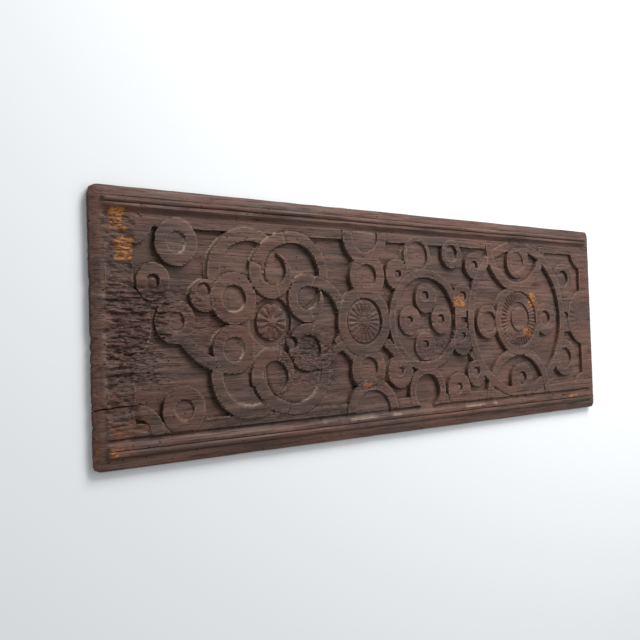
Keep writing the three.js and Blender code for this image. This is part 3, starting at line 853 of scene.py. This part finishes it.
def oak_material(colours):
    """Old oak, once waxed: a dark brown skin with darker pores along the grain, painted shade at the
    foot of every wall and in the crack, edges rubbed light under a painted highlight, a pale colour at
    the foot of some walls, darker eaten wood and worm holes, and orange wood laid bare by worm."""
    material = bpy.data.materials.new("old_waxed_oak")
    material.use_nodes = True
    tree = material.node_tree
    tree.nodes.clear()
    place = add_node(tree, "ShaderNodeTexCoord").outputs["Object"]
    patterns = grain_patterns(tree, place)
    lies = {}
    for name in ("arris", "bare", "dust", "foot", "worn"):
        lies[name] = add_node(tree, "ShaderNodeAttribute", {"attribute_name": name}).outputs["Fac"]

    skin = colours["skin"]
    for where, pattern, low, high, at_low, at_high, coat in COATS:
        share = add_node(tree, "ShaderNodeMapRange", SMOOTH,
                         {0: patterns[pattern], 1: low, 2: high, 3: at_low, 4: at_high})
        if where:
            share = add_node(tree, "ShaderNodeMath", {"operation": "MULTIPLY"},
                             {0: share.outputs[0], 1: lies[where]})
        skin = add_node(tree, "ShaderNodeMix", COLOUR_MIX,
                        {0: share.outputs[0], 6: skin, 7: colours[coat]}).outputs[2]
    skin = bare_wood(tree, skin, lies["bare"], patterns["fleck"], colours)
    holes = worm_holes(tree, place)
    holed = add_node(tree, "ShaderNodeMix", COLOUR_MIX, {0: holes, 6: skin, 7: colours["dirt_and_painted_shade"]})
    wax = add_node(tree, "ShaderNodeMapRange", SMOOTH,
                   {0: patterns["grain"], 1: 0.3, 2: 0.7, 3: 0.5, 4: 0.78})

    cut = add_node(tree, "ShaderNodeMath", {"operation": "MULTIPLY_ADD"}, {0: lies["worn"], 1: 1.6, 2: 0.5})
    pitted = add_node(tree, "ShaderNodeMath", {"operation": "MULTIPLY_ADD"},
                      {0: patterns["fleck"], 1: cut.outputs[0], 2: holes})
    relief = add_node(tree, "ShaderNodeMath", {"operation": "MULTIPLY_ADD"},
                      {0: patterns["grain"], 1: 0.7, 2: pitted.outputs[0]})
    bump = add_node(tree, "ShaderNodeBump", {"invert": True},
                    {"Height": relief.outputs[0], "Strength": 0.8, "Distance": 0.9 * MM})
    shader = add_node(tree, "ShaderNodeBsdfPrincipled", None, {
        "Base Color": holed.outputs[2], "Roughness": wax.outputs[0], "Normal": bump.outputs[0],
        "IOR": 1.5, "Specular IOR Level": 0.3,
    })
    add_node(tree, "ShaderNodeOutputMaterial", None, {0: shader.outputs[0]})
    return material


# The camera stands off the left end and looks along the board, with its long edges level.
CAMERA = {
    "place": (-0.7972, -0.0158, 0.8107),
    "look": (0.629, 0.0198, -0.7771),
    "up": (0.0103, 0.9994, 0.0339),
    "lens": 46.0,
    "sensor": 36.0,
}


def add_camera():
    data = bpy.data.cameras.new("camera")
    data.lens = CAMERA["lens"]
    data.sensor_width = CAMERA["sensor"]
    data.clip_start = 0.01
    camera = bpy.data.objects.new("camera", data)
    bpy.context.scene.collection.objects.link(camera)
    back = -Vector(CAMERA["look"]).normalized()
    right = Vector(CAMERA["up"]).cross(back).normalized()
    turned = Matrix((right, back.cross(right), back)).transposed().to_4x4()
    camera.matrix_world = Matrix.Translation(CAMERA["place"]) @ turned
    bpy.context.scene.camera = camera


def add_light(name, place, size, power):
    """A soft square light that faces the middle of the board."""
    data = bpy.data.lights.new(name, "AREA")
    data.shape = "SQUARE"
    data.size = size
    data.energy = power
    light = bpy.data.objects.new(name, data)
    light.location = place
    light.rotation_euler = (-Vector(place)).to_track_quat("-Z", "Y").to_euler()
    bpy.context.scene.collection.objects.link(light)


def add_floor(colour):
    bm = bmesh.new()
    bmesh.ops.create_grid(bm, x_segments=1, y_segments=1, size=6)
    mesh = bpy.data.meshes.new("floor")
    bm.to_mesh(mesh)
    bm.free()
    floor = bpy.data.objects.new("floor", mesh)
    floor.location.z = CAD_LOW.z
    bpy.context.scene.collection.objects.link(floor)
    material = bpy.data.materials.new("painted_floor")
    material.use_nodes = True
    shader = material.node_tree.nodes["Principled BSDF"]
    shader.inputs["Base Color"].default_value = colour
    shader.inputs["Roughness"].default_value = 0.9
    mesh.materials.append(material)


def chosen(group):
    """The values that a property group holds, by name."""
    return {name: getattr(group, name) for name in group.__annotations__}


class OAKPANEL_OT_board(bpy.types.Operator):
    """Carves the board and gives it its finish"""
    bl_idname = "oakpanel.board"
    bl_label = "Carved board"

    def execute(self, context):
        sizes = {name: value / MM for name, value in chosen(context.scene.oak_panel_sizes).items()}
        board = build_board(sizes)
        board.data.materials.append(oak_material(chosen(context.scene.oak_panel_colours)))
        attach(board, BODY)
        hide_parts(NODE)
        return {"FINISHED"}


class OAKPANEL_OT_stage(bpy.types.Operator):
    """Adds the pale floor, the soft lights and the camera"""
    bl_idname = "oakpanel.stage"
    bl_label = "Stage"

    def execute(self, context):
        scene = context.scene
        scene.view_settings.view_transform = "Standard"
        add_camera()
        add_floor(scene.oak_panel_colours.floor)
        world = bpy.data.worlds.new("studio")
        world.use_nodes = True
        background = world.node_tree.nodes["Background"]
        background.inputs["Color"].default_value = linear("#f4f7fa")
        background.inputs["Strength"].default_value = 0.42
        scene.world = world
        add_light("key", (0.55, 1.35, 0.95), 0.9, 36)
        add_light("side_fill", (1.3, 0.2, 1.2), 1.0, 7)
        return {"FINISHED"}


class OAKPANEL_PT_sidebar(bpy.types.Panel):
    bl_idname = "OAKPANEL_PT_sidebar"
    bl_label = "Oak Panel"
    bl_space_type = "VIEW_3D"
    bl_region_type = "UI"
    bl_category = "Oak Panel"

    def draw(self, context):
        for group in (context.scene.oak_panel_sizes, context.scene.oak_panel_colours):
            for name in group.__annotations__:
                self.layout.prop(group, name)
        self.layout.operator(OAKPANEL_OT_board.bl_idname)
        self.layout.operator(OAKPANEL_OT_stage.bl_idname)


CLASSES = (OakPanelSizes, OakPanelColours, OAKPANEL_OT_board, OAKPANEL_OT_stage, OAKPANEL_PT_sidebar)


def register():
    for item in CLASSES:
        bpy.utils.register_class(item)
    bpy.types.Scene.oak_panel_sizes = bpy.props.PointerProperty(type=OakPanelSizes)
    bpy.types.Scene.oak_panel_colours = bpy.props.PointerProperty(type=OakPanelColours)


def unregister():
    del bpy.types.Scene.oak_panel_colours
    del bpy.types.Scene.oak_panel_sizes
    for item in reversed(CLASSES):
        bpy.utils.unregister_class(item)


def main():
    register()
    bpy.ops.oakpanel.board()
    bpy.ops.oakpanel.stage()


if __name__ == "__main__":
    main()
